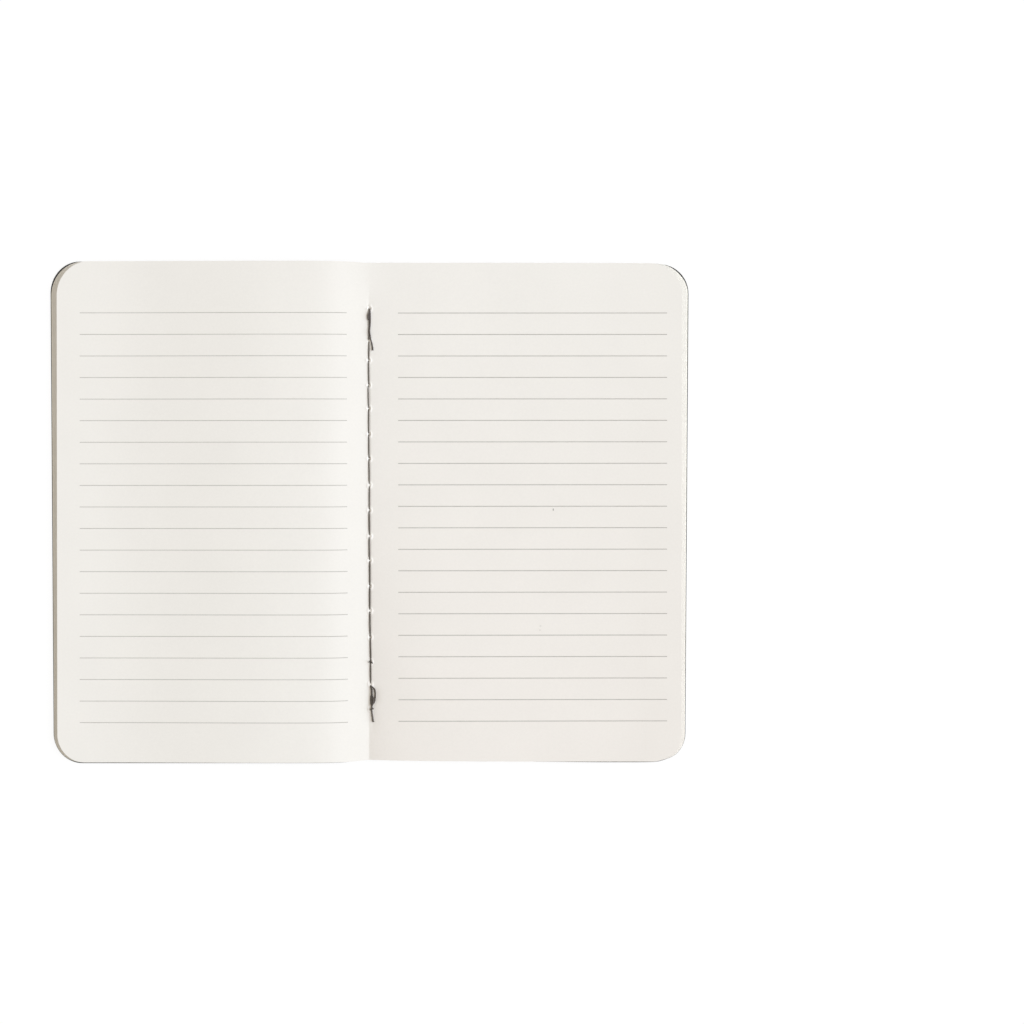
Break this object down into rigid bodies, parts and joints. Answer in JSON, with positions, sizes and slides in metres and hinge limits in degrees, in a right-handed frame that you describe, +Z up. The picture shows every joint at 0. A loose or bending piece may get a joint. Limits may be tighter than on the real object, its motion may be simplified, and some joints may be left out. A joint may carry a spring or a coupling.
{
  "type": "open sewn notebook",
  "caption": "Pocket notebook of folded sheets sewn through the fold into a dark card cover, open flat at its ruled centre spread; the front half swings shut on the fold.",
  "frame": {"origin": "on the table, under the middle of the fold", "axes": "+X across the spread towards the back half's fore edge, +Y along the fold towards the head, +Z up from the table"},
  "size_m": [0.1794, 0.1404, 0.0035],
  "materials": {
    "cover_card": "matt dyed card",
    "page_paper": "uncoated off-white writing paper",
    "sewing_thread": "twisted grey thread"
  },
  "bodies": {
    "back_half": {"back_cover": "cover_card", "right_pages": "page_paper", "inside_thread": "sewing_thread", "outside_thread": "sewing_thread"},
    "front_half": {"front_cover": "cover_card", "left_pages": "page_paper"}
  },
  "joints": [
    {"name": "cover_fold", "type": "hinge", "parent": "back_half", "child": "front_half", "pos_m": [0, 0, 0.00305], "axis": [0, 1, 0], "range_deg": [0, 178]}
  ]
}
